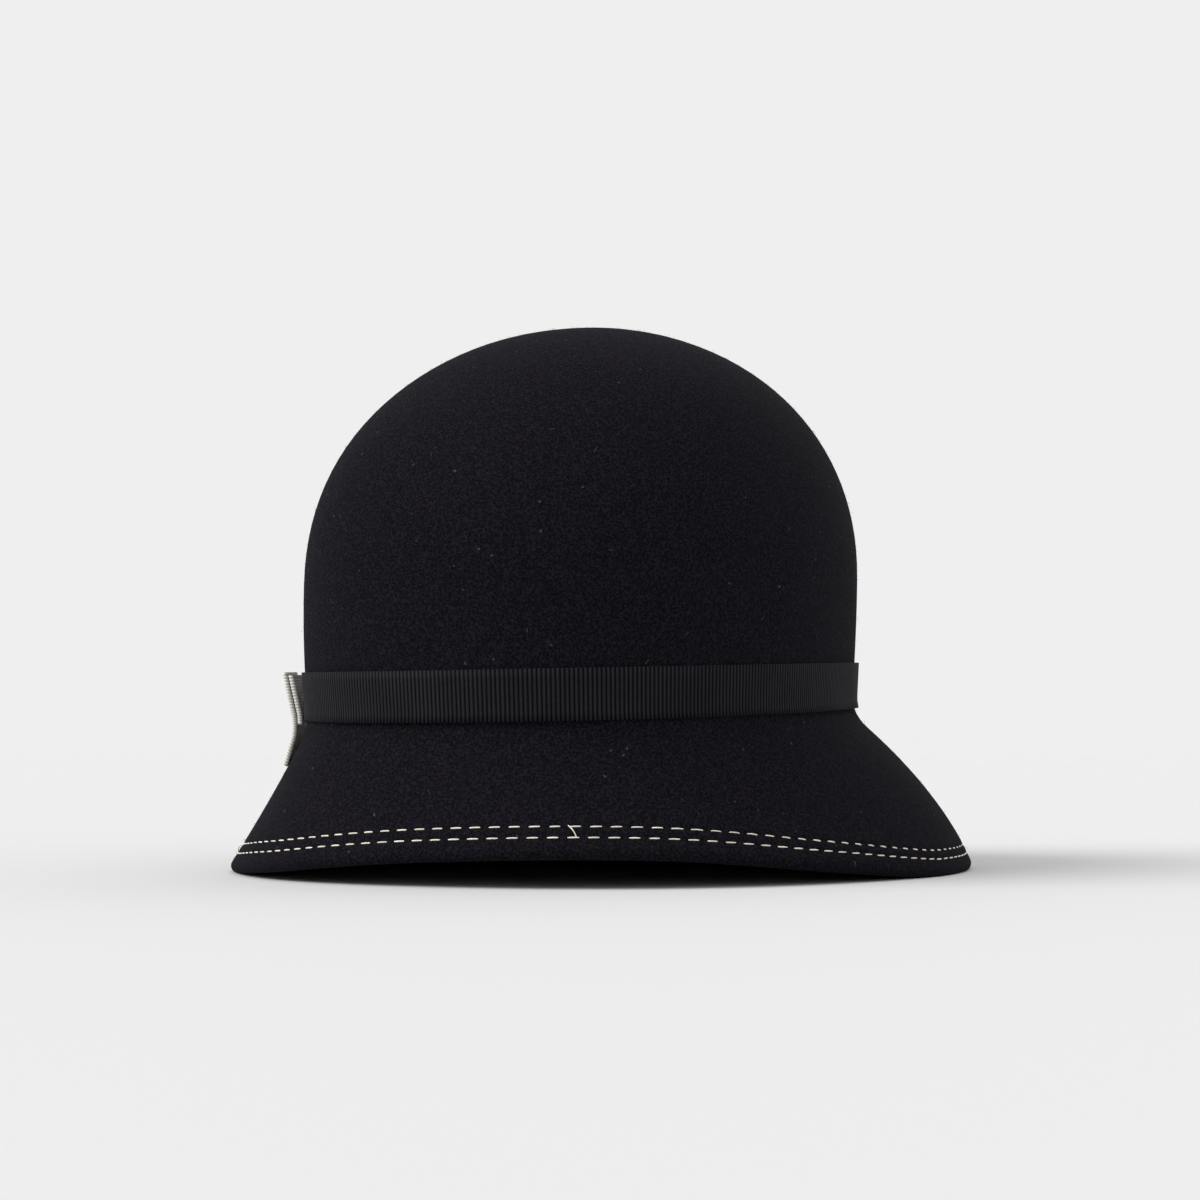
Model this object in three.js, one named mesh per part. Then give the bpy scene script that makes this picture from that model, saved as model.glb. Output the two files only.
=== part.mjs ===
// A woman's cloche hat of blocked wool felt, standing on its brim.
//
// Pieces:
//   felt_body       crown and brim, one piece of felt, with the brim's edge turned under as a hem
//   ribbon_band     grosgrain ribbon round the foot of the crown
//   trim_tab_under  short under layer of the ribbon tab that covers the band's join
//   trim_tab_top    top layer of that tab, from the band over the bend and down the brim
//
// Frame: millimetres, +Z up, -Y the front (the wearer looks along -Y), +X the wearer's left.
// The hat stands on z = 0, with the origin under the middle of its bounding box.
// An azimuth is in degrees from the front, and grows towards the wearer's left.

import * as THREE from "three";

const { degToRad, lerp } = THREE.MathUtils;

// Head size: the inside of the crown at the headline, where the crown meets the brim.
const HEAD_HALF_WIDTH = 81.5;
const HEAD_HALF_LENGTH = 102;
const PLAN_SQUARENESS = 2.1; // 2 is a true ellipse

const FELT = 2.4; // felt thickness
const GAP = 0.3; // clearance between pieces that lie on each other

// Crown, measured up from the headline.
const HEADLINE_HEIGHT = 49;
const CROWN_HEIGHT = 129;
const WALL_HEIGHT = 45; // below this the wall is nearly upright, above it the dome closes
const WALL_BULGE = 0.022; // how much wider the top of the wall is than the headline
const DOME_ROUNDNESS = 2.1; // 2 is a true ellipse
const CROWN_LEAN = { left: 2, back: 8 }; // how far the top stands off the headline's centre
const CROWN_PITCH = 2.5; // degrees, nodding forwards

// Brim: how far its edge stands out from the headline, how high the edge is off the table,
// and how full its section is between them (0 is straight).
const BRIM = [
  { azimuth: 0, flare: 15, lift: 7.5, fullness: -0.03 },
  { azimuth: 30, flare: 19, lift: 8.5, fullness: -0.03 },
  { azimuth: 60, flare: 27, lift: 4, fullness: 0.02 },
  { azimuth: 90, flare: 36, lift: 0, fullness: 0.1 },
  { azimuth: 120, flare: 38, lift: 0, fullness: 0.12 },
  { azimuth: 150, flare: 36, lift: 0.5, fullness: 0.1 },
  { azimuth: 180, flare: 35, lift: 1.5, fullness: 0.08 },
  { azimuth: 210, flare: 36, lift: 0.5, fullness: 0.06 },
  { azimuth: 240, flare: 38, lift: 0, fullness: 0.04 },
  { azimuth: 270, flare: 36, lift: 1, fullness: 0 },
  { azimuth: 300, flare: 27, lift: 0, fullness: -0.02 },
  { azimuth: 330, flare: 19, lift: 2.5, fullness: -0.03 },
];
const BEND_REACH = 6; // length of wall and brim taken up by the soft bend between them

// Hem: the edge folded under and stitched flat.
const HEM_THICKNESS = 2 * FELT;
const HEM_WIDTH = 12;
const HEM_STEP = 1; // length over which the folded layer's cut edge drops away
const EDGE_RISE = 2.9; // height of the hem's outer corner over the lowest point of its fold

// Ribbon band, measured up from the headline.
const RIBBON_THICKNESS = 1;
const RIBBON_FROM = 2;
const RIBBON_WIDTH = 15;

// Ribbon tab on the wearer's right. Its layers spread off the wall towards the top.
const TAB_AZIMUTH = -55;
const TAB_HALF_ANGLE = 6.5; // about 20 mm wide
const TAB_LAYER = 1.5; // each layer is ribbon doubled over
const TAB_TOP = 17.5;
const TAB_STAGGER = 1; // how much shorter the under layer is
const TAB_SPREAD = 2.6; // how much further the top of the under layer stands off than its foot
const TAB_TAIL = 15; // length of the top layer's tail down the brim

// Mesh steps.
const STEPS_AROUND = 60;
const DOME_STEPS = 9;
const WALL_STEPS = 3;
const BEND_STEPS = 3;
const BRIM_STEPS = 3;
const FOLD_STEPS = 6;
const TAB_COLUMNS = 6;
const TAB_ROWS = 5;

// Outer felt outline in plan at the headline: a point, and its outward direction.
function headline(azimuth) {
  const halfWidth = HEAD_HALF_WIDTH + FELT;
  const halfLength = HEAD_HALF_LENGTH + FELT;
  const n = PLAN_SQUARENESS;
  const across = Math.sin(degToRad(azimuth));
  const along = -Math.cos(degToRad(azimuth));
  const radius =
    (Math.abs(across / halfWidth) ** n + Math.abs(along / halfLength) ** n) ** (-1 / n);
  const point = new THREE.Vector3(radius * across, radius * along, 0);
  const out = new THREE.Vector3(
    (Math.sign(point.x) * Math.abs(point.x / halfWidth) ** (n - 1)) / halfWidth,
    (Math.sign(point.y) * Math.abs(point.y / halfLength) ** (n - 1)) / halfLength,
    0,
  );
  return { point, out: out.normalize() };
}

// Width of the crown at a height over the headline, as a share of the headline's.
function crownScale(height) {
  if (height <= WALL_HEIGHT) {
    return 1 + WALL_BULGE * Math.sin(((Math.PI / 2) * height) / WALL_HEIGHT);
  }
  const rise = Math.min((height - WALL_HEIGHT) / (CROWN_HEIGHT - WALL_HEIGHT), 1);
  return (1 + WALL_BULGE) * (1 - rise ** DOME_ROUNDNESS) ** (1 / DOME_ROUNDNESS);
}

// A point on the outside of the crown.
function crownPoint(azimuth, height) {
  const lean = (height / CROWN_HEIGHT) ** 2;
  const point = headline(azimuth).point.multiplyScalar(crownScale(height));
  point.x += CROWN_LEAN.left * lean;
  point.y += CROWN_LEAN.back * lean;
  point.z = height;
  point.applyAxisAngle(new THREE.Vector3(1, 0, 0), degToRad(CROWN_PITCH));
  point.z += HEADLINE_HEIGHT;
  return point;
}

// A column of the brim table at an azimuth, on a smooth closed curve through its rows.
function brimValue(column, azimuth) {
  const place = THREE.MathUtils.euclideanModulo(azimuth, 360) / (360 / BRIM.length);
  const row = Math.floor(place);
  const t = place - row;
  const [before, from, to, after] = [-1, 0, 1, 2].map(
    (step) => BRIM[(row + step + BRIM.length) % BRIM.length][column],
  );
  const start = (to - before) / 2;
  const end = (after - from) / 2;
  const bend = 3 * (to - from) - 2 * start - end;
  const twist = start + end - 2 * (to - from);
  return from + start * t + bend * t ** 2 + twist * t ** 3;
}

// A point on the outside of the brim, with share 0 at the headline and 1 where the fold begins.
function brimPoint(azimuth, share) {
  const top = crownPoint(azimuth, 0);
  const edgeHeight = Math.max(brimValue("lift", azimuth), 0) + EDGE_RISE;
  const fullness = 4 * share * (1 - share) * brimValue("fullness", azimuth);
  const reach = brimValue("flare", azimuth) * (share + fullness);
  const point = top.clone().addScaledVector(headline(azimuth).out, reach);
  point.z = lerp(top.z, edgeHeight, share);
  return point;
}

// The share of the brim that a length down it from the headline makes.
function brimShare(azimuth, length) {
  return length / brimPoint(azimuth, 0).distanceTo(brimPoint(azimuth, 1));
}

// A point on the outside of the brim at a length up from where the fold begins.
function hemPoint(azimuth, length) {
  return brimPoint(azimuth, 1 - brimShare(azimuth, length));
}

// The soft bend between wall and brim, with share 0 on the wall and 1 on the brim.
function bendPoint(azimuth, share) {
  const above = crownPoint(azimuth, BEND_REACH);
  const corner = crownPoint(azimuth, 0);
  const below = brimPoint(azimuth, brimShare(azimuth, BEND_REACH));
  return new THREE.QuadraticBezierCurve3(above, corner, below).getPoint(share);
}

// A point on the outside of the wall, down into the upper half of the bend.
function wallPoint(azimuth, height) {
  if (height > BEND_REACH) return crownPoint(azimuth, height);
  return bendPoint(azimuth, (1 - height / BEND_REACH) / 2);
}

// Rows of the felt's outer surface from the top down, each a function of the azimuth.
function feltRows() {
  const rows = [];
  for (let i = 1; i <= DOME_STEPS; i++) {
    const turn = (Math.PI / 2) * (1 - i / DOME_STEPS);
    const height = lerp(WALL_HEIGHT, CROWN_HEIGHT, Math.sin(turn) ** (2 / DOME_ROUNDNESS));
    rows.push((azimuth) => crownPoint(azimuth, height));
  }
  for (let i = 1; i < WALL_STEPS; i++) {
    const height = lerp(WALL_HEIGHT, BEND_REACH, i / WALL_STEPS);
    rows.push((azimuth) => crownPoint(azimuth, height));
  }
  for (let i = 0; i <= BEND_STEPS; i++) {
    rows.push((azimuth) => bendPoint(azimuth, i / BEND_STEPS));
  }
  for (let i = 1; i <= BRIM_STEPS; i++) {
    rows.push((azimuth) => {
      const from = brimShare(azimuth, BEND_REACH);
      const to = 1 - brimShare(azimuth, HEM_WIDTH);
      return brimPoint(azimuth, lerp(from, to, i / BRIM_STEPS));
    });
  }
  rows.push((azimuth) => hemPoint(azimuth, HEM_WIDTH / 2));
  rows.push((azimuth) => hemPoint(azimuth, 0));
  return rows;
}

// Outward normal of a surface at one of its rows.
function normalAt(rows, i, azimuth) {
  const down = rows[Math.min(i + 1, rows.length - 1)](azimuth);
  down.sub(rows[Math.max(i - 1, 0)](azimuth));
  const round = rows[i](azimuth + 1);
  round.sub(rows[i](azimuth - 1));
  return down.cross(round).normalize();
}

// A point at a distance outside a surface's row.
function offset(rows, i, azimuth, distance) {
  return rows[i](azimuth).addScaledVector(normalAt(rows, i, azimuth), distance);
}

// A ring of points, one for each step round the hat.
function ringOf(pointAt) {
  return Array.from({ length: STEPS_AROUND }, (_, j) => pointAt((360 * j) / STEPS_AROUND));
}

// Closed body from rings of points. It runs from a point to a point, or back to its first ring.
function ringsGeometry(rings, endPoints) {
  const around = rings[0].length;
  const points = rings.flat();
  const faces = [];
  const last = rings.length - 1;
  for (let i = 0; i < (endPoints ? last : rings.length); i++) {
    const upper = i * around;
    const lower = ((i + 1) % rings.length) * around;
    for (let j = 0; j < around; j++) {
      const next = (j + 1) % around;
      faces.push(upper + j, lower + j, lower + next);
      faces.push(upper + j, lower + next, upper + next);
    }
  }
  if (endPoints) {
    const [start, end] = endPoints.map((point) => points.push(point) - 1);
    for (let j = 0; j < around; j++) {
      const next = (j + 1) % around;
      faces.push(start, j, next);
      faces.push(last * around + j, end, last * around + next);
    }
  }
  const geometry = new THREE.BufferGeometry().setFromPoints(points);
  geometry.setIndex(faces);
  geometry.computeVertexNormals();
  return geometry;
}

// Points round the hem's fold, from the outside of the brim to the inside.
function foldRings(rows) {
  const edge = rows.length - 1;
  const radius = HEM_THICKNESS / 2;
  const rings = [];
  for (let i = 1; i <= FOLD_STEPS; i++) {
    const turn = (Math.PI * i) / FOLD_STEPS;
    rings.push(
      ringOf((azimuth) => {
        const onward = rows[edge](azimuth).sub(rows[edge - 1](azimuth)).normalize();
        const point = offset(rows, edge, azimuth, radius * (Math.cos(turn) - 1));
        return point.addScaledVector(onward, radius * Math.sin(turn));
      }),
    );
  }
  return rings;
}

// Crown and brim in one: the outer skin, round the folded edge, and back up the inner skin.
function feltGeometry() {
  const rows = feltRows();
  const hemTop = rows.length - 3;
  const outer = rows.map(ringOf);
  const foldedLayer = [
    ringOf((azimuth) => offset(rows, hemTop + 1, azimuth, -HEM_THICKNESS)),
    ringOf((azimuth) => offset(rows, hemTop, azimuth, -HEM_THICKNESS)),
  ];
  const cutEdge = ringOf((azimuth) => {
    const upward = rows[hemTop - 1](azimuth).sub(rows[hemTop](azimuth)).normalize();
    return offset(rows, hemTop, azimuth, -FELT).addScaledVector(upward, HEM_STEP);
  });
  const inner = [];
  for (let i = hemTop - 1; i >= 0; i--) {
    inner.push(ringOf((azimuth) => offset(rows, i, azimuth, -FELT)));
  }
  const rings = [...outer, ...foldRings(rows), ...foldedLayer, cutEdge, ...inner];
  for (const point of rings.flat()) {
    point.z = Math.max(point.z, 0); // pressed flat where it stands
  }
  const top = crownPoint(0, CROWN_HEIGHT);
  const innerTop = top.clone().setZ(top.z - FELT);
  return ringsGeometry(rings, [top, innerTop]);
}

// The band: a closed ring of ribbon on the crown's wall.
function bandGeometry() {
  const rows = [1, 0.5, 0].map(
    (share) => (azimuth) => wallPoint(azimuth, RIBBON_FROM + RIBBON_WIDTH * share),
  );
  const face = (distance) =>
    rows.map((_, i) => ringOf((azimuth) => offset(rows, i, azimuth, distance)));
  return ringsGeometry([...face(GAP + RIBBON_THICKNESS), ...face(GAP).reverse()]);
}

// One layer of the tab: a strip that lies along rows of the felt, each with its own distance.
function tabGeometry(rows, distances) {
  const sections = rows.map((_, i) => {
    const pointAt = (j, distance) => {
      const azimuth = TAB_AZIMUTH + TAB_HALF_ANGLE * ((2 * j) / TAB_COLUMNS - 1);
      return offset(rows, i, azimuth, distance);
    };
    const columns = Array.from({ length: TAB_COLUMNS + 1 }, (_, j) => j);
    const outer = columns.map((j) => pointAt(j, distances[i] + TAB_LAYER));
    const inner = columns.map((j) => pointAt(j, distances[i])).reverse();
    return [...outer, ...inner];
  });
  const middleOf = (section) =>
    section
      .reduce((sum, point) => sum.add(point), new THREE.Vector3())
      .divideScalar(section.length);
  return ringsGeometry(sections, [middleOf(sections[0]), middleOf(sections.at(-1))]);
}

// Rows and distances of a tab layer on the wall, from its top down to the felt's bend.
function tabOnWall(top, foot, footDistance) {
  const rows = [];
  const distances = [];
  for (let i = 0; i <= TAB_ROWS; i++) {
    const height = lerp(top, foot, i / TAB_ROWS);
    rows.push((azimuth) => wallPoint(azimuth, height));
    distances.push(footDistance + (TAB_SPREAD * height) / TAB_TOP);
  }
  return { rows, distances };
}

// The top layer goes on over the bend and down the brim.
function tabTail(layer) {
  const fromDistance = layer.distances.at(-1);
  for (let i = 1; i <= TAB_ROWS; i++) {
    const length = (TAB_TAIL * i) / TAB_ROWS;
    layer.rows.push((azimuth) => {
      if (length < BEND_REACH) return bendPoint(azimuth, 0.5 + length / (2 * BEND_REACH));
      return brimPoint(azimuth, brimShare(azimuth, length));
    });
    layer.distances.push(lerp(fromDistance, GAP, i / TAB_ROWS));
  }
  return layer;
}

function piece(name, geometry, color, roughness) {
  const material = new THREE.MeshStandardMaterial({ color, roughness, metalness: 0 });
  const mesh = new THREE.Mesh(geometry, material);
  mesh.name = name;
  return mesh;
}

const underDistance = GAP + RIBBON_THICKNESS + GAP;
const under = tabOnWall(TAB_TOP - TAB_STAGGER, 0, underDistance);
const upper = tabTail(tabOnWall(TAB_TOP, 0, underDistance + TAB_LAYER + GAP));

const hat = new THREE.Group();
hat.add(
  piece("felt_body", feltGeometry(), 0x0b0b0f, 1),
  piece("ribbon_band", bandGeometry(), 0x1b1b20, 0.6),
  piece("trim_tab_under", tabGeometry(under.rows, under.distances), 0xe9e2cb, 0.6),
  piece("trim_tab_top", tabGeometry(upper.rows, upper.distances), 0xf6f4ec, 0.6),
);
const middle = new THREE.Box3().setFromObject(hat, true).getCenter(new THREE.Vector3());
hat.position.set(-middle.x, -middle.y, 0);

export default hat;
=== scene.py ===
"""A woman's cloche hat of black wool felt, standing on its brim on a pale table.

The hat's form is worked out in millimetres over its own headline, and set in the frame in
metres. An azimuth is in degrees from the front and grows towards the wearer's left.
"""

import math

import bpy
import numpy as np
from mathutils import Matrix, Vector


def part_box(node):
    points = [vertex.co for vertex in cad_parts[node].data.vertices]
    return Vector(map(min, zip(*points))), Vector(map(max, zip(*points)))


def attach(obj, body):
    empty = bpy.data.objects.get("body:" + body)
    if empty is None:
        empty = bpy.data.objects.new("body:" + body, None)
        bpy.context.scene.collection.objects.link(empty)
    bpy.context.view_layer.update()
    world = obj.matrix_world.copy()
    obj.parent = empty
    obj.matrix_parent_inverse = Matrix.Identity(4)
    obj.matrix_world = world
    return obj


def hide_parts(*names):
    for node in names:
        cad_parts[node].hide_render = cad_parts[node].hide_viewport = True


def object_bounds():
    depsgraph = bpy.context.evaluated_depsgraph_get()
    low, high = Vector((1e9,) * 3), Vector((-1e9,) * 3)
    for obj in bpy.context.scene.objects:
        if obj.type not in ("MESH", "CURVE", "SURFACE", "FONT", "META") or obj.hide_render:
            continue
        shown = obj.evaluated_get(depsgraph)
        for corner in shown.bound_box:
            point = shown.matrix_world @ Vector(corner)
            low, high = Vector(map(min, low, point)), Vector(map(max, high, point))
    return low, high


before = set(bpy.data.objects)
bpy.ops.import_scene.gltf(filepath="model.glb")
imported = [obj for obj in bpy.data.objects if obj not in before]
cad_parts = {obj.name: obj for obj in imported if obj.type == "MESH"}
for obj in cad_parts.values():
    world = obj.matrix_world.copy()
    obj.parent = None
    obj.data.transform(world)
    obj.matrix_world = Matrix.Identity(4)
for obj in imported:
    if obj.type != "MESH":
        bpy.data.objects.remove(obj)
cad_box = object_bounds()

MM = 0.001
SEED = 11

# Head size and felt
HALF_WIDTH = 83.9  # outside of the felt at the headline
HALF_LENGTH = 104.4
PLAN_SQUARENESS = 2.1
FELT = 2.4

# Crown, measured up from the headline
HEADLINE_HEIGHT = 49.0
CROWN_HEIGHT = 129.0
WALL_HEIGHT = 45.0
WALL_BULGE = 0.022
DOME_ROUNDNESS = 2.1
CROWN_LEAN_LEFT = 2.0
CROWN_LEAN_BACK = 8.0
CROWN_PITCH = 2.5  # degrees, nodding forwards

# Brim every 30 degrees from the front: (flare, lift of the edge off the table, fullness)
BRIM = np.array(
    [
        (15, 7.5, -0.03),
        (19, 8.5, -0.03),
        (27, 4, 0.02),
        (36, 0, 0.1),
        (38, 0, 0.12),
        (36, 0.5, 0.1),
        (35, 1.5, 0.08),
        (36, 0.5, 0.06),
        (38, 0, 0.04),
        (36, 1, 0),
        (27, 0, -0.02),
        (19, 2.5, -0.03),
    ]
)
FLARE, LIFT, FULLNESS = 0, 1, 2
BEND_REACH = 6.0

# Hem
HEM_THICKNESS = 2 * FELT
HEM_WIDTH = 12.0
HEM_STEP = 1.0
EDGE_RISE = 2.9

# Topstitching: two rows round the hem, at lengths up from where its fold begins
STITCH_ROWS = {"lower": 3.2, "upper": 6.6}
STITCH_PITCH = 5.75
STITCH_LENGTH = 4.3
THREAD_RADIUS = 0.25
THREAD_END_RADIUS = 0.65 * THREAD_RADIUS  # a single strand of the thread
SEAM_DEPTH = 0.3  # how far the thread pulls the felt in
SEAM_WIDTH = 0.75
PUCKER = 0.45  # how much of that pull comes and goes with each needle hole

# Ribbon band
GAP = 0.3
RIBBON = 1.0
RIBBON_FROM = 2.0
RIBBON_WIDTH = 15.0
RIB_PITCH = 1.3
RIB_HEIGHT = 0.16
RIB_TOOTH = 0.15  # how far a cord's end stands out at the ribbon's edge

# Ribbon tab on the wearer's right
TAB_AZIMUTH = -55.0
TAB_HALF_ANGLE = 6.5
TAB_LAYER = 1.5
TAB_TOP = 17.5
TAB_STAGGER = 1.0
TAB_SPREAD = 2.6
TAB_TAIL = 15.0
TAB_RIB_PITCH = 0.95

# Loose fibres on the felt; a density is in fibres to the square metre
NAP_DENSITY = 30000.0
NAP_LENGTH = 0.9
NAP_RADIUS = 0.022
NAP_CLEAR = 3.0  # none grow this near the table
LINT_DENSITY = 900.0
LINT_LENGTH = 1.3
LINT_RADIUS = 0.025


# ---- The hat's form -------------------------------------------------------------------------


def headline(azimuth):
    """Outer felt outline in plan, and its outward direction, at each azimuth."""
    n = PLAN_SQUARENESS
    across = np.sin(np.radians(azimuth))
    along = -np.cos(np.radians(azimuth))
    radius = (np.abs(across / HALF_WIDTH) ** n + np.abs(along / HALF_LENGTH) ** n) ** (-1 / n)
    x, y = radius * across, radius * along
    out_x = np.sign(x) * np.abs(x / HALF_WIDTH) ** (n - 1) / HALF_WIDTH
    out_y = np.sign(y) * np.abs(y / HALF_LENGTH) ** (n - 1) / HALF_LENGTH
    size = np.hypot(out_x, out_y)
    flat = np.zeros_like(x)
    return np.stack([x, y, flat], -1), np.stack([out_x / size, out_y / size, flat], -1)


def crown_scale(height):
    """Width of the crown at a height, as a share of the headline's."""
    wall = 1 + WALL_BULGE * np.sin(math.pi / 2 * np.clip(height / WALL_HEIGHT, 0, 1))
    rise = np.clip((height - WALL_HEIGHT) / (CROWN_HEIGHT - WALL_HEIGHT), 0, 1)
    return wall * (1 - rise**DOME_ROUNDNESS) ** (1 / DOME_ROUNDNESS)


def crown_point(azimuth, height):
    """Points on the outside of the crown."""
    height = np.broadcast_to(np.asarray(height, float), azimuth.shape)
    lean = (height / CROWN_HEIGHT) ** 2
    x, y, _ = np.moveaxis(headline(azimuth)[0] * crown_scale(height)[..., None], -1, 0)
    x = x + CROWN_LEAN_LEFT * lean
    y = y + CROWN_LEAN_BACK * lean
    c, s = math.cos(math.radians(CROWN_PITCH)), math.sin(math.radians(CROWN_PITCH))
    return np.stack([x, y * c - height * s, y * s + height * c + HEADLINE_HEIGHT], -1)


def brim_value(column, azimuth):
    """A column of the brim table at each azimuth, on a smooth closed curve through its rows."""
    place = np.mod(azimuth, 360) / (360 / len(BRIM))
    row = np.floor(place).astype(int)
    t = place - row
    before, at, to, after = (BRIM[(row + step) % len(BRIM), column] for step in (-1, 0, 1, 2))
    start, end = (to - before) / 2, (after - at) / 2
    bend = 3 * (to - at) - 2 * start - end
    twist = start + end - 2 * (to - at)
    return at + start * t + bend * t**2 + twist * t**3


def brim_point(azimuth, share):
    """Points on the outside of the brim, share 0 at the headline and 1 where the fold begins."""
    top = crown_point(azimuth, 0)
    edge_height = np.maximum(brim_value(LIFT, azimuth), 0) + EDGE_RISE
    reach = brim_value(FLARE, azimuth) * (
        share + 4 * share * (1 - share) * brim_value(FULLNESS, azimuth)
    )
    point = top + headline(azimuth)[1] * reach[..., None]
    point[..., 2] = top[..., 2] * (1 - share) + edge_height * share
    return point


def brim_length(azimuth):
    """Straight length of the brim from the headline to where the fold begins."""
    ends = brim_point(azimuth, np.ones_like(azimuth)) - brim_point(azimuth, np.zeros_like(azimuth))
    return np.linalg.norm(ends, axis=-1)


def bend_point(azimuth, share):
    """Points on the soft bend between wall and brim, share 0 on the wall and 1 on the brim."""
    above = crown_point(azimuth, BEND_REACH)
    corner = crown_point(azimuth, 0)
    below = brim_point(azimuth, BEND_REACH / brim_length(azimuth))
    return above * (1 - share) ** 2 + corner * 2 * share * (1 - share) + below * share**2


def wall_point(azimuth, height):
    """Points on the outside of the wall, down into the upper half of the bend."""
    if height > BEND_REACH:
        return crown_point(azimuth, height)
    return bend_point(azimuth, (1 - height / BEND_REACH) / 2)


def hem_point(azimuth, length):
    """Points on the outside of the brim at a length up from where the fold begins."""
    return brim_point(azimuth, 1 - length / brim_length(azimuth))


def along_rows(rows, azimuth):
    """Points and outward normals of a surface given as rows, each a function of the azimuth."""
    points = np.stack([row(azimuth) for row in rows])
    down = np.gradient(points, axis=0)
    nudge = 0.5
    round_hat = np.stack([row(azimuth + nudge) - row(azimuth - nudge) for row in rows])
    normals = np.cross(down, round_hat)
    return points, normals / np.linalg.norm(normals, axis=-1, keepdims=True)


def azimuths(count):
    """Even steps right round the hat."""
    return np.arange(count) * (360 / count)


def seam_dip(length):
    """How far the felt is pulled in at a length up the hem."""
    return sum(
        SEAM_DEPTH * math.exp(-(((length - row) / SEAM_WIDTH) ** 2)) for row in STITCH_ROWS.values()
    )


# ---- Meshes ---------------------------------------------------------------------------------


def new_object(name, points, faces):
    """A mesh object in the frame, from points in millimetres."""
    mesh = bpy.data.meshes.new(name)
    mesh.from_pydata((np.asarray(points).reshape(-1, 3) * MM + PLACE).tolist(), [], faces)
    mesh.update()
    mesh.shade_smooth()
    obj = bpy.data.objects.new(name, mesh)
    bpy.context.scene.collection.objects.link(obj)
    return obj


def ring_faces(rings, around, closed):
    """Faces of a stack of rings that runs down the outside; closed joins the last to the first."""
    faces = []
    for i in range(rings if closed else rings - 1):
        upper, lower = i * around, ((i + 1) % rings) * around
        for j in range(around):
            k = (j + 1) % around
            faces.append((upper + j, lower + j, lower + k, upper + k))
    return faces


def give_map(obj, name, values):
    """A number at each point of a piece, for its patterns and its ribs."""
    kind = "FLOAT_VECTOR" if np.ndim(values) == 2 else "FLOAT"
    attribute = obj.data.attributes.new(name, kind, "POINT")
    attribute.data.foreach_set("vector" if kind == "FLOAT_VECTOR" else "value", np.ravel(values))


# ---- Felt body ------------------------------------------------------------------------------

FELT_AROUND = 600
DOME_ROWS = 30
WALL_ROWS = 12
BEND_ROWS = 6
BRIM_ROWS = 10
HEM_ROWS = 26
FOLD_ROWS = 9
SWELL = 0.28
RIPPLE = 0.1

# Rows of the inside step where the hem's turned edge ends: (thickness left, height gained)
STEP_ROWS = ((0.8, 0.35), (0.3, 0.6), (0, 1))


def felt_rows():
    """Rows of the felt's outer surface from the top down, and the row where the hem begins."""
    rows = []
    for i in range(1, DOME_ROWS + 1):
        turn = math.pi / 2 * (1 - i / DOME_ROWS)
        rise = math.sin(turn) ** (2 / DOME_ROUNDNESS)
        height = WALL_HEIGHT + (CROWN_HEIGHT - WALL_HEIGHT) * rise
        rows.append(lambda a, h=height: crown_point(a, h))
    for i in range(1, WALL_ROWS):
        height = WALL_HEIGHT + (BEND_REACH - WALL_HEIGHT) * i / WALL_ROWS
        rows.append(lambda a, h=height: crown_point(a, h))
    for i in range(BEND_ROWS + 1):
        rows.append(lambda a, s=i / BEND_ROWS: bend_point(a, s))
    for i in range(1, BRIM_ROWS + 1):

        def brim_row(a, s=i / BRIM_ROWS):
            start = BEND_REACH / brim_length(a)
            end = 1 - HEM_WIDTH / brim_length(a)
            return brim_point(a, start + (end - start) * s)

        rows.append(brim_row)
    hem_top = len(rows) - 1
    for i in range(1, HEM_ROWS + 1):
        rows.append(lambda a, d=HEM_WIDTH * (1 - i / HEM_ROWS): hem_point(a, d))
    return rows, hem_top


def hand_blocking(points):
    """Slow uneven swells of a few tenths of a millimetre, as hand blocking leaves."""
    x, y, z = np.moveaxis(points, -1, 0)
    swell = np.sin(x * 0.041 + z * 0.027 + 0.6) * np.sin(y * 0.034 - z * 0.022 + 1.9)
    ripple = np.sin(x * 0.083 - y * 0.071 + 2.4) * np.sin(z * 0.078 + y * 0.043)
    return SWELL * swell + RIPPLE * ripple


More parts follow.
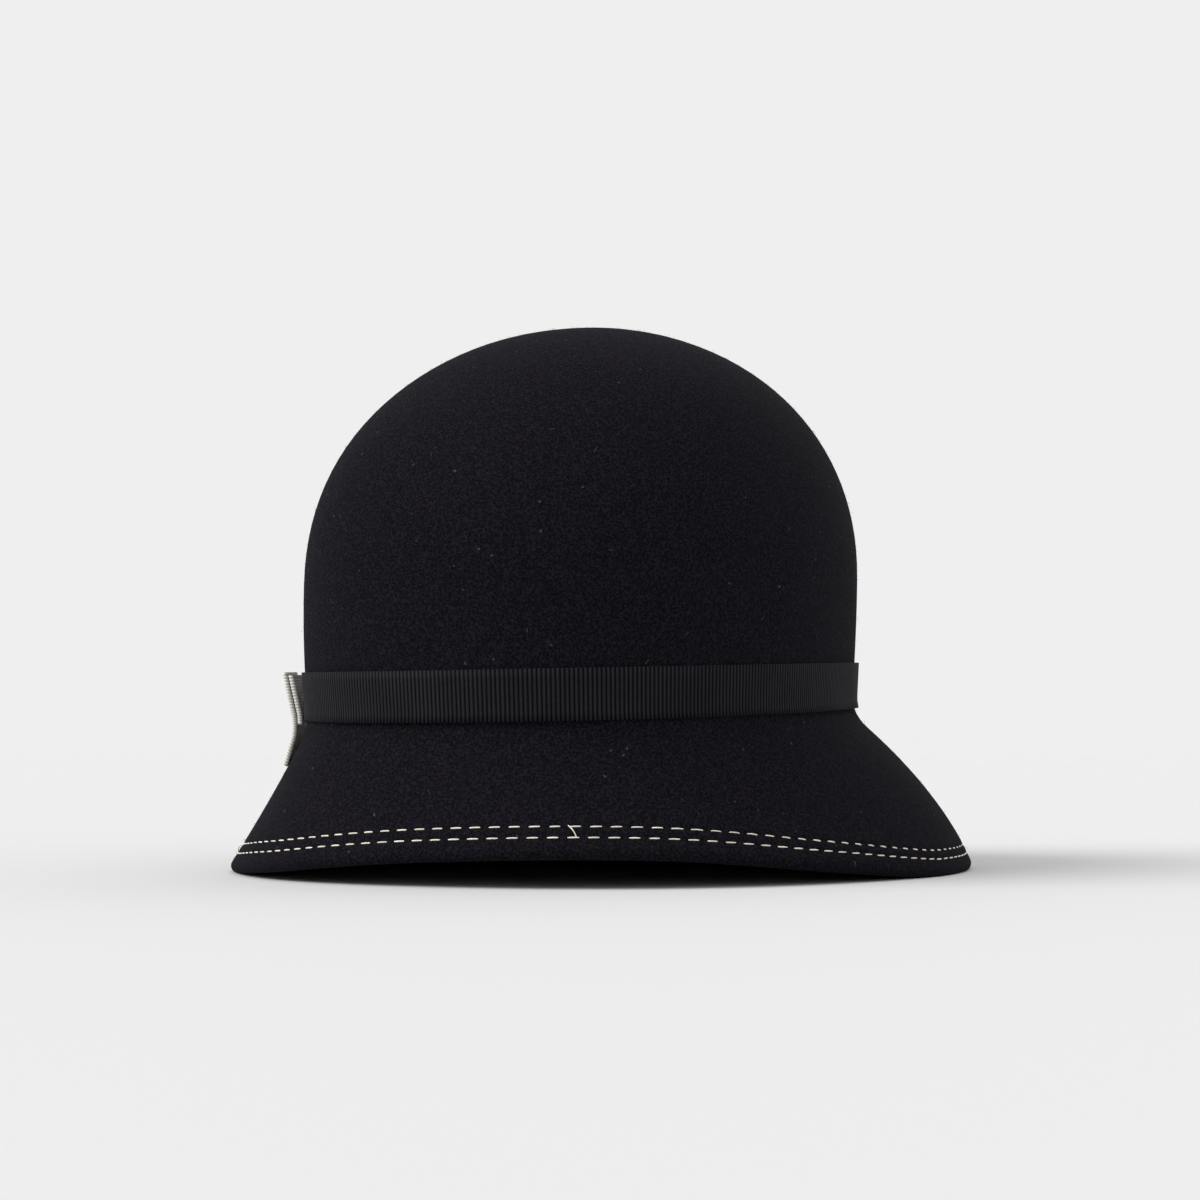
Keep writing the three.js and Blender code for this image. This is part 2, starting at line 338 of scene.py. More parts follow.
def build_felt():
    """Crown and brim: outer skin, round the folded edge, and back up the inner skin."""
    rows, hem_top = felt_rows()
    azimuth = azimuths(FELT_AROUND)
    points, normals = along_rows(rows, azimuth)
    outer = points + normals * hand_blocking(points)[..., None]

    # Pulled in along each stitch row, and a little more at every needle hole
    arc = np.linalg.norm(np.roll(points[-1], -1, 0) - points[-1], axis=-1)
    travel = np.concatenate([[0], np.cumsum(arc)[:-1]])
    stitches = round(arc.sum() / STITCH_PITCH)
    pucker = 1 + PUCKER * np.cos(2 * math.pi * stitches * travel / arc.sum())
    dips = np.zeros(len(rows))
    for i in range(1, HEM_ROWS + 1):
        dips[hem_top + i] = seam_dip(HEM_WIDTH * (1 - i / HEM_ROWS))
    dip = dips[:, None, None] * pucker[None, :, None]
    outer = outer - normals * dip

    fold = []
    radius = HEM_THICKNESS / 2
    onward = points[-1] - points[-2]
    onward /= np.linalg.norm(onward, axis=-1, keepdims=True)
    for i in range(1, FOLD_ROWS):
        turn = math.pi * i / FOLD_ROWS
        edge = outer[-1] + normals[-1] * radius * (math.cos(turn) - 1)
        fold.append(edge + onward * radius * math.sin(turn))

    hem_inner = [
        points[i] - normals[i] * (HEM_THICKNESS - dip[i])
        for i in range(len(rows) - 1, hem_top - 1, -2)
    ]
    upward = points[hem_top - 1] - points[hem_top]
    upward /= np.linalg.norm(upward, axis=-1, keepdims=True)
    step = [
        points[hem_top] - normals[hem_top] * (FELT + left * FELT) + upward * HEM_STEP * gained
        for left, gained in STEP_ROWS
    ]
    inner = [outer[i] - normals[i] * FELT for i in range(hem_top - 1, 0, -2)]

    rings = np.concatenate([outer, fold, hem_inner, step, inner])
    rings[..., 2] = np.maximum(rings[..., 2], 0)
    top = rings[0].mean(0) + (0, 0, 0.02)
    inner_top = rings[-1].mean(0)
    flat = np.concatenate([rings.reshape(-1, 3), [top, inner_top]])
    faces = ring_faces(len(rings), FELT_AROUND, False)
    last = (len(rings) - 1) * FELT_AROUND
    for j in range(FELT_AROUND):
        k = (j + 1) % FELT_AROUND
        faces.append((len(flat) - 2, j, k))
        faces.append((last + j, len(flat) - 1, last + k))
    return flat, faces


PLACE = np.zeros(3)
felt_points, felt_faces = build_felt()
low, high = (np.array(corner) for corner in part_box("felt_body"))
middle = (felt_points.min(0) + felt_points.max(0)) / 2 * MM
PLACE = np.array([(low + high)[0] / 2 - middle[0], (low + high)[1] / 2 - middle[1], 0])


# ---- Shader node groups ---------------------------------------------------------------------


class Nodes:
    """Short calls that put nodes in a tree and join them."""

    def __init__(self, tree):
        self.tree = tree

    def add(self, kind, settings=None, **inputs):
        node = self.tree.nodes.new(kind)
        for name, value in (settings or {}).items():
            setattr(node, name, value)
        for name, value in inputs.items():
            self.put(node.inputs[self.key(node, name)], value)
        return node

    def key(self, node, name):
        if name[0] == "_":
            return int(name[1:])
        return name.replace("_", " ")

    def put(self, socket, value):
        if isinstance(value, bpy.types.NodeSocket):
            self.tree.links.new(value, socket)
        else:
            socket.default_value = value

    def math(self, operation, a, b=0.0):
        return self.add("ShaderNodeMath", {"operation": operation}, _0=a, _1=b).outputs[0]

    def ramp(self, value, start, end, low=0.0, high=1.0):
        node = self.add("ShaderNodeMapRange", None, _0=value, _1=start, _2=end, _3=low, _4=high)
        return node.outputs[0]

    def mix(self, share, a, b, blend="MIX"):
        node = self.add("ShaderNodeMix", {"data_type": "RGBA", "blend_type": blend})
        for i, value in ((0, share), (6, a), (7, b)):
            self.put(node.inputs[i], value)
        return node.outputs[2]


def node_group(name, inputs, outputs):
    """An empty shader group with named sockets; each input is (name, type, default)."""
    tree = bpy.data.node_groups.new(name, "ShaderNodeTree")
    for socket, kind, default in inputs:
        made = tree.interface.new_socket(socket, in_out="INPUT", socket_type=kind)
        if default is not None:
            made.default_value = default
    for socket, kind in outputs:
        tree.interface.new_socket(socket, in_out="OUTPUT", socket_type=kind)
    nodes = Nodes(tree)
    return nodes, nodes.add("NodeGroupInput").outputs, nodes.add("NodeGroupOutput").inputs


def mottle_group():
    """Slow and fine colour variation, as dyed wool and silk have."""
    nodes, given, result = node_group(
        "dye_mottle",
        [
            ("Vector", "NodeSocketVector", None),
            ("Color", "NodeSocketColor", (0.5, 0.5, 0.5, 1)),
            ("Patch Size", "NodeSocketFloat", 60.0),
            ("Amount", "NodeSocketFloat", 0.3),
        ],
        [("Color", "NodeSocketColor"), ("Mask", "NodeSocketFloat")],
    )
    place = given["Vector"]
    broad = nodes.add("ShaderNodeTexNoise", None, Vector=place, Scale=given["Patch Size"])
    fine = nodes.add("ShaderNodeTexNoise", None, Vector=place, Scale=900.0, Detail=3.0)
    both = nodes.math("ADD", broad.outputs[0], fine.outputs[0])
    mask = nodes.ramp(both, 0.7, 1.3)
    swing = nodes.math("MULTIPLY", nodes.math("SUBTRACT", mask, 0.5), given["Amount"])
    hsv = nodes.add("ShaderNodeHueSaturation", None, Color=given["Color"])
    nodes.put(hsv.inputs["Value"], nodes.math("ADD", swing, 1.0))
    nodes.put(result["Color"], hsv.outputs[0])
    nodes.put(result["Mask"], mask)
    return nodes.tree


def lint_group():
    """Fine light flecks and short fibres caught on dark cloth."""
    nodes, given, result = node_group(
        "lint",
        [
            ("Vector", "NodeSocketVector", None),
            ("Spread", "NodeSocketFloat", 260.0),
            ("Rarity", "NodeSocketFloat", 0.8),
        ],
        [("Mask", "NodeSocketFloat")],
    )
    bent = nodes.add("ShaderNodeTexNoise", None, Vector=given["Vector"], Scale=120.0)
    pushed = nodes.add("ShaderNodeVectorMath", {"operation": "SCALE"}, _0=bent.outputs[1])
    nodes.put(pushed.inputs["Scale"], 0.006)
    place = nodes.add("ShaderNodeVectorMath", None, _0=given["Vector"], _1=pushed.outputs[0])
    cells = nodes.add("ShaderNodeTexVoronoi", None, Vector=place.outputs[0], Scale=given["Spread"])
    speck = nodes.ramp(cells.outputs["Distance"], 0.16, 0.05)
    pick = nodes.add("ShaderNodeSeparateColor", None, _0=cells.outputs["Color"])
    chosen = nodes.math("GREATER_THAN", pick.outputs[0], given["Rarity"])
    nodes.put(result["Mask"], nodes.math("MULTIPLY", speck, chosen))
    return nodes.tree


def fibre_group():
    """Height of tangled fibres: matted wool, or the twist of a yarn when drawn out one way."""
    nodes, given, result = node_group(
        "fibre",
        [
            ("Vector", "NodeSocketVector", None),
            ("Fineness", "NodeSocketFloat", 1500.0),
            ("Tangle", "NodeSocketFloat", 1.5),
        ],
        [("Height", "NodeSocketFloat")],
    )
    place = given["Vector"]
    grain = nodes.add("ShaderNodeTexNoise", None, Vector=place, Scale=given["Fineness"])
    nodes.put(grain.inputs["Detail"], 4.0)
    nodes.put(grain.inputs["Distortion"], given["Tangle"])
    half = nodes.math("MULTIPLY", given["Fineness"], 0.6)
    clumps = nodes.add("ShaderNodeTexVoronoi", None, Vector=place, Scale=half)
    low_part = nodes.math("MULTIPLY", clumps.outputs["Distance"], 0.3)
    nodes.put(result["Height"], nodes.math("ADD", grain.outputs[0], low_part))
    return nodes.tree


DYE = mottle_group()
LINT = lint_group()
FIBRE = fibre_group()


def material(name, roughness, sheen=0.0, sheen_tint=(1, 1, 1, 1), specular=0.5):
    """A material with its Principled shader, and the calls to build on it."""
    made = bpy.data.materials.new(name)
    made.use_nodes = True
    nodes = Nodes(made.node_tree)
    shader = made.node_tree.nodes["Principled BSDF"]
    shader.inputs["Roughness"].default_value = roughness
    shader.inputs["Sheen Weight"].default_value = sheen
    shader.inputs["Sheen Roughness"].default_value = 0.5
    shader.inputs["Sheen Tint"].default_value = sheen_tint
    shader.inputs["Specular IOR Level"].default_value = specular
    place = nodes.add("ShaderNodeTexCoord").outputs["Object"]
    return made, nodes, shader, place


def use(nodes, tree, **inputs):
    """A group placed in a material with its own values."""
    return nodes.add("ShaderNodeGroup", {"node_tree": tree}, **inputs).outputs


def felt_material():
    made, nodes, shader, place = material(
        "black_wool_felt", 0.95, sheen=0.006, sheen_tint=(0.8, 0.8, 1, 1), specular=0.03
    )
    dyed = use(nodes, DYE, Vector=place, Color=(0.0028, 0.0024, 0.0038, 1), Patch_Size=24.0)
    lint = use(nodes, LINT, Vector=place, Spread=330.0, Rarity=0.93)
    fibre = use(nodes, FIBRE, Vector=place, Fineness=2000.0, Tangle=1.0)
    flecks = nodes.math("MULTIPLY", lint["Mask"], 0.5)
    nap = nodes.mix(nodes.ramp(fibre["Height"], 0.58, 0.8), dyed["Color"], (0.011, 0.01, 0.014, 1))
    nodes.put(shader.inputs["Base Color"], nodes.mix(flecks, nap, (0.1, 0.1, 0.1, 1)))
    bump = nodes.add("ShaderNodeBump", None, Strength=0.6, Distance=0.00025)
    nodes.put(bump.inputs["Height"], fibre["Height"])
    nodes.put(shader.inputs["Normal"], bump.outputs[0])
    return made


def ribbon_material(name, color, valley_painted_shade, roughness, sheen, specular):
    """Ribbed ribbon: the cords catch the light, and painted shade darkens the colour in the valleys
    between them.
    """
    made, nodes, shader, place = material(name, roughness, sheen=sheen, specular=specular)
    dyed = use(nodes, DYE, Vector=place, Color=color, Patch_Size=70.0, Amount=0.35)
    fibre = use(nodes, FIBRE, Vector=place, Fineness=2600.0, Tangle=0.6)
    rib = nodes.add("ShaderNodeAttribute", {"attribute_name": "rib"}).outputs["Fac"]
    # Painted shade: where the rib value falls towards the valleys between the cords, the colour
    # darkens to the given shade colour.
    nodes.put(
        shader.inputs["Base Color"],
        nodes.mix(nodes.ramp(rib, 0.4, 1.0), valley_painted_shade, dyed["Color"]),
    )
    bump = nodes.add("ShaderNodeBump", None, Strength=0.45, Distance=0.0001)
    nodes.put(bump.inputs["Height"], fibre["Height"])
    nodes.put(shader.inputs["Normal"], bump.outputs[0])
    return made


def thread_material():
    made, nodes, shader, place = material("off_white_thread", 0.55, sheen=0.2, specular=0.4)
    dyed = use(nodes, DYE, Vector=place, Color=(0.68, 0.64, 0.53, 1), Patch_Size=160.0, Amount=0.5)
    fibre = use(nodes, FIBRE, Vector=place, Fineness=3600.0, Tangle=0.4)
    nodes.put(shader.inputs["Base Color"], dyed["Color"])
    bump = nodes.add("ShaderNodeBump", None, Strength=0.5, Distance=0.0001)
    nodes.put(bump.inputs["Height"], fibre["Height"])
    nodes.put(shader.inputs["Normal"], bump.outputs[0])
    return made


def fibre_material(name, color):
    made, nodes, shader, place = material(name, 0.8, specular=0.2)
    dyed = use(nodes, DYE, Vector=place, Color=color, Patch_Size=300.0, Amount=0.8)
    nodes.put(shader.inputs["Base Color"], dyed["Color"])
    return made


FELT_LOOK = felt_material()
# The fourth value is painted shade: the darker colour in the valleys between the black ribbon's
# cords.
BLACK_RIBBON = ribbon_material(
    "black_grosgrain", (0.016, 0.016, 0.02, 1), (0.0005, 0.0005, 0.0007, 1), 0.6, 0.001, 0.04
)
# The fourth value is painted shade: the darker, yellower colour in the valleys between the cream
# ribbon's cords.
CREAM_RIBBON = ribbon_material(
    "cream_grosgrain", (0.84, 0.83, 0.79, 1), (0.52, 0.49, 0.41, 1), 0.5, 0.06, 0.3
)
THREAD = thread_material()


# ---- Geometry Nodes trees -------------------------------------------------------------------


def geometry_tree(name, inputs):
    """An empty tree with a geometry in and out, and named inputs: {name: (type, default)}."""
    tree = bpy.data.node_groups.new(name, "GeometryNodeTree")
    tree.interface.new_socket("Geometry", in_out="INPUT", socket_type="NodeSocketGeometry")
    tree.interface.new_socket("Geometry", in_out="OUTPUT", socket_type="NodeSocketGeometry")
    for socket, (kind, default) in inputs.items():
        made = tree.interface.new_socket(socket, in_out="INPUT", socket_type=kind)
        if default is not None:
            made.default_value = default
    nodes = Nodes(tree)
    return nodes, nodes.add("NodeGroupInput").outputs, nodes.add("NodeGroupOutput").inputs


def finish_tree(nodes, given, result, geometry):
    """Every tree ends in real faces with their material."""
    real = nodes.add("GeometryNodeRealizeInstances", None, Geometry=geometry)
    dressed = nodes.add(
        "GeometryNodeSetMaterial", None, Geometry=real.outputs[0], Material=given["Material"]
    )
    nodes.put(result["Geometry"], dressed.outputs[0])
    return nodes.tree


def named(nodes, name, kind):
    return nodes.add("GeometryNodeInputNamedAttribute", {"data_type": kind}, Name=name).outputs[0]


def vector_scale(nodes, vector, factor):
    node = nodes.add("ShaderNodeVectorMath", {"operation": "SCALE"}, _0=vector)
    nodes.put(node.inputs["Scale"], factor)
    return node.outputs[0]


def rib_tree():
    """Raises the cords of a grosgrain ribbon across its width, and lets them tooth its edges."""
    nodes, given, result = geometry_tree(
        "grosgrain_ribs",
        {
            "Pitch": ("NodeSocketFloat", RIB_PITCH * MM),
            "Height": ("NodeSocketFloat", RIB_HEIGHT * MM),
            "Tooth": ("NodeSocketFloat", RIB_TOOTH * MM),
            "Material": ("NodeSocketMaterial", None),
        },
    )
    turn = nodes.math("DIVIDE", named(nodes, "along", "FLOAT"), given["Pitch"])
    wave = nodes.math("ABSOLUTE", nodes.math("SINE", nodes.math("MULTIPLY", turn, math.pi)))
    rib = nodes.math("POWER", wave, 0.7)
    # The stored rib value raises the cords, and in the ribbon shader it also sets the painted shade
    # in the valleys between them.
    stored = nodes.add(
        "GeometryNodeStoreNamedAttribute",
        {"data_type": "FLOAT", "domain": "POINT"},
        Geometry=given["Geometry"],
        Name="rib",
    )
    nodes.put(stored.inputs["Value"], rib)
    lift = nodes.math("MULTIPLY", rib, given["Height"])
    out = vector_scale(nodes, named(nodes, "cord_lift", "FLOAT_VECTOR"), lift)
    tooth = nodes.math("MULTIPLY", rib, given["Tooth"])
    side = vector_scale(nodes, named(nodes, "edge_side", "FLOAT_VECTOR"), tooth)
    both = nodes.add("ShaderNodeVectorMath", None, _0=out, _1=side)
    moved = nodes.add(
        "GeometryNodeSetPosition", None, Geometry=stored.outputs[0], Offset=both.outputs[0]
    )
    return finish_tree(nodes, given, result, moved.outputs[0])


def stitch_tree():
    """Lays one stitch at each pitch along a path, square to the felt under it."""
    nodes, given, result = geometry_tree(
        "topstitch_row",
        {
            "Count": ("NodeSocketInt", 100),
            "Length": ("NodeSocketFloat", STITCH_LENGTH * MM),
            "Radius": ("NodeSocketFloat", THREAD_RADIUS * MM),
            "Seed": ("NodeSocketInt", SEED),
            "Material": ("NodeSocketMaterial", None),
        },
    )
    half = nodes.math("MULTIPLY", given["Length"], 0.5)
    sunk = nodes.math("MULTIPLY", given["Radius"], -1.6)
    proud = nodes.math("MULTIPLY", given["Radius"], 1.9)
    arch = nodes.add("GeometryNodeCurveQuadraticBezier", None, Resolution=6)
    corners = (("Start", nodes.math("MULTIPLY", half, -1.0), sunk), ("Middle", 0.0, proud))
    for socket, x, z in (*corners, ("End", half, sunk)):
        nodes.put(arch.inputs[socket], nodes.add("ShaderNodeCombineXYZ", None, X=x, Z=z).outputs[0])
    ring = nodes.add("GeometryNodeCurvePrimitiveCircle", None, Resolution=6, Radius=given["Radius"])
    stitch = nodes.add(
        "GeometryNodeCurveToMesh", None, Curve=arch.outputs[0], Profile_Curve=ring.outputs[0]
    )
    nodes.put(stitch.inputs["Fill Caps"], True)

    path = nodes.add("GeometryNodeMeshToCurve", None, Mesh=given["Geometry"])
    spaced = nodes.add(
        "GeometryNodeResampleCurve", None, Curve=path.outputs[0], Count=given["Count"]
    )
    turn = nodes.add("FunctionNodeAxesToRotation", {"primary_axis": "Z", "secondary_axis": "X"})
    nodes.put(turn.inputs[0], named(nodes, "felt_normal", "FLOAT_VECTOR"))
    nodes.put(turn.inputs[1], nodes.add("GeometryNodeInputTangent").outputs[0])
    size = nodes.add("FunctionNodeRandomValue", {"data_type": "FLOAT"}, Seed=given["Seed"])
    nodes.put(size.inputs[2], 0.93)
    nodes.put(size.inputs[3], 1.06)
    scale = nodes.add("ShaderNodeCombineXYZ", None, X=size.outputs[1], Y=1.0, Z=size.outputs[1])
    laid = nodes.add(
        "GeometryNodeInstanceOnPoints",
        None,
        Points=spaced.outputs[0],
        Instance=stitch.outputs[0],
        Rotation=turn.outputs[0],
        Scale=scale.outputs[0],
    )
    return finish_tree(nodes, given, result, laid.outputs[0])


def nap_tree():
    """Stands short loose fibres on a surface, each leaning its own way."""
    nodes, given, result = geometry_tree(
        "loose_nap",
        {
            "Density": ("NodeSocketFloat", 1000.0),
            "Length": ("NodeSocketFloat", 1.2 * MM),
            "Width": ("NodeSocketFloat", 0.05 * MM),
            "Clear": ("NodeSocketFloat", NAP_CLEAR * MM),
            "Seed": ("NodeSocketInt", SEED),
            "Material": ("NodeSocketMaterial", None),
        },
    )
    here = nodes.add("GeometryNodeInputPosition").outputs[0]
    place = nodes.add("ShaderNodeSeparateXYZ", None, _0=here)
    off_table = nodes.math("GREATER_THAN", place.outputs["Z"], given["Clear"])
    scattered = nodes.add(
        "GeometryNodeDistributePointsOnFaces",
        None,
        Mesh=given["Geometry"],
        Selection=off_table,
        Density=given["Density"],
        Seed=given["Seed"],
    )
    tip = nodes.add("ShaderNodeCombineXYZ", None, X=given["Length"])
    nodes.put(tip.inputs["Z"], nodes.math("MULTIPLY", given["Length"], 0.35))
    knee = nodes.add("ShaderNodeCombineXYZ", None, X=nodes.math("MULTIPLY", given["Length"], 0.3))
    nodes.put(knee.inputs["Z"], nodes.math("MULTIPLY", given["Length"], 0.45))
    hair = nodes.add("GeometryNodeCurveQuadraticBezier", None, Resolution=2)
    nodes.put(hair.inputs["Start"], (0.0, 0.0, 0.0))
    nodes.put(hair.inputs["Middle"], knee.outputs[0])
    nodes.put(hair.inputs["End"], tip.outputs[0])
    ring = nodes.add("GeometryNodeCurvePrimitiveCircle", None, Resolution=3, Radius=given["Width"])
    fibre = nodes.add(
        "GeometryNodeCurveToMesh", None, Curve=hair.outputs[0], Profile_Curve=ring.outputs[0]
    )
    nodes.put(fibre.inputs["Fill Caps"], True)
    swing = nodes.add("FunctionNodeRandomValue", {"data_type": "FLOAT_VECTOR"}, Seed=given["Seed"])
    nodes.put(swing.inputs[0], (-0.4, -0.4, -math.pi))
    nodes.put(swing.inputs[1], (0.4, 0.4, math.pi))
    own = nodes.add("FunctionNodeEulerToRotation", None, _0=swing.outputs[0])
    both = nodes.add(
        "FunctionNodeRotateRotation",
        {"rotation_space": "LOCAL"},
        _0=scattered.outputs["Rotation"],
        _1=own.outputs[0],
    )
    size = nodes.add("FunctionNodeRandomValue", {"data_type": "FLOAT"}, Seed=given["Seed"])
    nodes.put(size.inputs[2], 0.5)
    nodes.put(size.inputs[3], 1.5)
    planted = nodes.add(
        "GeometryNodeInstanceOnPoints",
        None,
        Points=scattered.outputs["Points"],
        Instance=fibre.outputs[0],
        Rotation=both.outputs[0],
    )
    nodes.put(planted.inputs["Scale"], size.outputs[1])
    return finish_tree(nodes, given, result, planted.outputs[0])


def grown(name, base, tree, keep_base=False, **inputs):
    """Runs a tree on a base object, and gives back the plain mesh that it makes."""
    modifier = base.modifiers.new("work", "NODES")
    modifier.node_group = tree
    sockets = {s.name: s.identifier for s in tree.interface.items_tree if s.in_out == "INPUT"}
    for socket, value in inputs.items():
        modifier[sockets[socket]] = value
    evaluated = base.evaluated_get(bpy.context.evaluated_depsgraph_get())
    mesh = bpy.data.meshes.new_from_object(evaluated)
    base.modifiers.remove(modifier)
    if not keep_base:
        bpy.data.objects.remove(base)
    mesh.name = name
    mesh.shade_smooth()
    made = bpy.data.objects.new(name, mesh)
    bpy.context.scene.collection.objects.link(made)
    return made


RIBS = rib_tree()
TOPSTITCH = stitch_tree()
NAP = nap_tree()


# ---- Pieces ---------------------------------------------------------------------------------

felt = new_object("felt_body_shell", felt_points, felt_faces)
felt.data.materials.append(FELT_LOOK)

BAND_STEPS_PER_RIB = 6
BAND_ROWS = 7


def build_band():
    """The band as a plain closed strip, with the places of its ribs and edges marked."""
    fine = azimuths(4000)
    middle_line = wall_point(fine, RIBBON_FROM + RIBBON_WIDTH / 2)
    travel = np.linalg.norm(np.roll(middle_line, -1, 0) - middle_line, axis=-1)
    travel = np.concatenate([[0], np.cumsum(travel)])
    ribs = round(travel[-1] / RIB_PITCH)
    around = ribs * BAND_STEPS_PER_RIB
    even = np.interp(np.arange(around) / around * travel[-1], travel, np.append(fine, 360))
    heights = RIBBON_FROM + RIBBON_WIDTH * np.linspace(1, 0, BAND_ROWS)
    points, normals = along_rows([lambda a, h=h: wall_point(a, h) for h in heights], even)
    body = RIBBON - RIB_HEIGHT
    inner = [points[i] + normals[i] * GAP for i in (-1, BAND_ROWS // 2, 0)]
    rings = np.concatenate([points + normals * (GAP + body), inner])
    base = new_object("band_base", rings, ring_faces(len(rings), around, True))

    lift = np.zeros_like(rings)
    lift[:BAND_ROWS] = normals
    side = np.zeros_like(rings)
    upward = points[0] - points[1]
    upward /= np.linalg.norm(upward, axis=-1, keepdims=True)
    side[[0, -1]] = upward
    side[[BAND_ROWS - 1, BAND_ROWS]] = -upward
    along = np.tile(np.arange(around) / BAND_STEPS_PER_RIB * RIB_PITCH * MM, len(rings))
    give_map(base, "along", along)
    give_map(base, "cord_lift", lift.reshape(-1, 3))
    give_map(base, "edge_side", side.reshape(-1, 3))
    return grown("ribbon_band_ribbed", base, RIBS, Material=BLACK_RIBBON)


band = build_band()

TAB_STEPS_PER_RIB = 6
TAB_COLUMNS = 12


def tab_rows(top, foot_distance, tail):
    """Rows of a tab layer from its top down, finely spaced, and each row's distance off the felt."""
    step = TAB_RIB_PITCH / TAB_STEPS_PER_RIB
    rows, distances = [], []
    for height in np.linspace(top, 0, round(top / step) + 1):
        rows.append(lambda a, h=height: wall_point(a, h))
        distances.append(foot_distance + TAB_SPREAD * height / TAB_TOP)
    for length in np.arange(step, tail, step):
        share = length / TAB_TAIL

        def tail_row(a, length=length):
            if length < BEND_REACH:
                return bend_point(a, 0.5 + length / (2 * BEND_REACH))
            return brim_point(a, length / brim_length(a))

        rows.append(tail_row)
        distances.append(foot_distance + (GAP - foot_distance) * share)
    return rows, np.array(distances)[:, None, None]


def build_tab(name, top, foot_distance, tail):
    """One layer of the tab, with ribs across it that tooth its long edges."""
    rows, distances = tab_rows(top, foot_distance, tail)
    azimuth = TAB_AZIMUTH + TAB_HALF_ANGLE * np.linspace(-1, 1, TAB_COLUMNS + 1)
    points, normals = along_rows(rows, azimuth)
    body = TAB_LAYER - RIB_HEIGHT
    outer = points + normals * (distances + body)
    inner = points + normals * distances
    sections = np.concatenate([outer, inner[:, ::-1]], axis=1)
    count = sections.shape[1]
    faces = ring_faces(len(sections), count, False)
    for first, order in ((0, 1), ((len(sections) - 1) * count, -1)):
        for j in range(TAB_COLUMNS):
            quad = [first + k for k in (j, j + 1, count - 2 - j, count - 1 - j)]
            faces.append(tuple(quad[::order]))
    base = new_object(name + "_base", sections, faces)

    lift = np.zeros_like(sections)
    lift[:, : TAB_COLUMNS + 1] = normals
    side = np.zeros_like(sections)
    sideways = points[:, 1] - points[:, 0]
    sideways /= np.linalg.norm(sideways, axis=-1, keepdims=True)
    side[:, [0, -1]] = -sideways[:, None]
    side[:, [TAB_COLUMNS, TAB_COLUMNS + 1]] = sideways[:, None]
    along = np.repeat(np.arange(len(sections)) / TAB_STEPS_PER_RIB * TAB_RIB_PITCH * MM, count)
    give_map(base, "along", along)
    give_map(base, "cord_lift", lift.reshape(-1, 3))
    give_map(base, "edge_side", side.reshape(-1, 3))
    return grown(name, base, RIBS, Material=CREAM_RIBBON, Pitch=TAB_RIB_PITCH * MM)


under_distance = GAP + RIBBON + GAP
tab_under = build_tab("trim_tab_under_ribbed", TAB_TOP - TAB_STAGGER, under_distance, 0)
tab_top = build_tab("trim_tab_top_ribbed", TAB_TOP, under_distance + TAB_LAYER + GAP, TAB_TAIL)


def hem_path(azimuth, length, inside):
    """Points on the felt along a stitch row and the way out of the felt there."""
    rows = [lambda a, d=length + step: hem_point(a, d) for step in (0.5, 0, -0.5)]
    points, normals = along_rows(rows, azimuth)
    dip = seam_dip(length)
    if inside:
        return points[1] - normals[1] * (HEM_THICKNESS - dip), -normals[1]
    blocked = hand_blocking(points[1])[..., None]
    return points[1] + normals[1] * (blocked - dip), normals[1]


def build_stitch_row(name, length, inside):
    """A whole row of stitches round the hem."""
    points, normals = hem_path(azimuths(720), length, inside)
    around = len(points)
    mesh = bpy.data.meshes.new(name + "_path")
    edges = [(i, (i + 1) % around) for i in range(around)]
    mesh.from_pydata((points * MM + PLACE).tolist(), edges, [])
    base = bpy.data.objects.new(name + "_path", mesh)
    bpy.context.scene.collection.objects.link(base)
    give_map(base, "felt_normal", normals)
    travel = np.linalg.norm(np.roll(points, -1, 0) - points, axis=-1).sum()
    count = round(travel / STITCH_PITCH)
    return grown(name, base, TOPSTITCH, Count=count, Material=THREAD)


stitch_rows = [
    build_stitch_row(f"stitches_{side}_{row}", length, side == "inside")
    for side in ("outside", "inside")
    for row, length in STITCH_ROWS.items()
]


def build_thread_end(name, route):
    """A loose bit of thread that lies over the felt; route is (azimuth, length up, height)."""
    curve = bpy.data.curves.new(name, "CURVE")
    curve.dimensions = "3D"
    curve.bevel_depth = THREAD_END_RADIUS * MM
    curve.bevel_resolution = 2
    curve.use_fill_caps = True
    curve.resolution_u = 6
    spline = curve.splines.new("BEZIER")
    spline.bezier_points.add(len(route) - 1)
    for knot, (azimuth, length, height) in zip(spline.bezier_points, route):
        point, normal = hem_path(np.array([float(azimuth)]), length, False)
        knot.co = (point[0] + normal[0] * height) * MM + PLACE
        knot.handle_left_type = knot.handle_right_type = "AUTO"
    made = bpy.data.objects.new(name, curve)
    bpy.context.scene.collection.objects.link(made)
    mesh = bpy.data.meshes.new_from_object(
        made.evaluated_get(bpy.context.evaluated_depsgraph_get())
    )
    bpy.data.objects.remove(made)
    mesh.shade_smooth()
    mesh.materials.clear()
    mesh.materials.append(THREAD)
    plain = bpy.data.objects.new(name, mesh)
    bpy.context.scene.collection.objects.link(plain)
    return plain


# A thread that crosses from row to row near the front, and the tails where the sewing ends
THREAD_ENDS = {
    "thread_end_front": [(20.6, 7.0, -0.2), (20.9, 6, 0.4), (21.3, 4.6, 0.45), (21.6, 3.4, -0.2)],
    "thread_end_side": [(-50, 6.4, -0.3), (-51, 5.6, 0.5), (-52, 4.4, 0.5), (-53, 3.4, -0.2)],
    "thread_end_side_tail": [(-52.6, 6.6, -0.2), (-53.4, 7.4, 0.5), (-54.2, 7.9, 0.3)],
}
thread_ends = [build_thread_end(name, route) for name, route in THREAD_ENDS.items()]

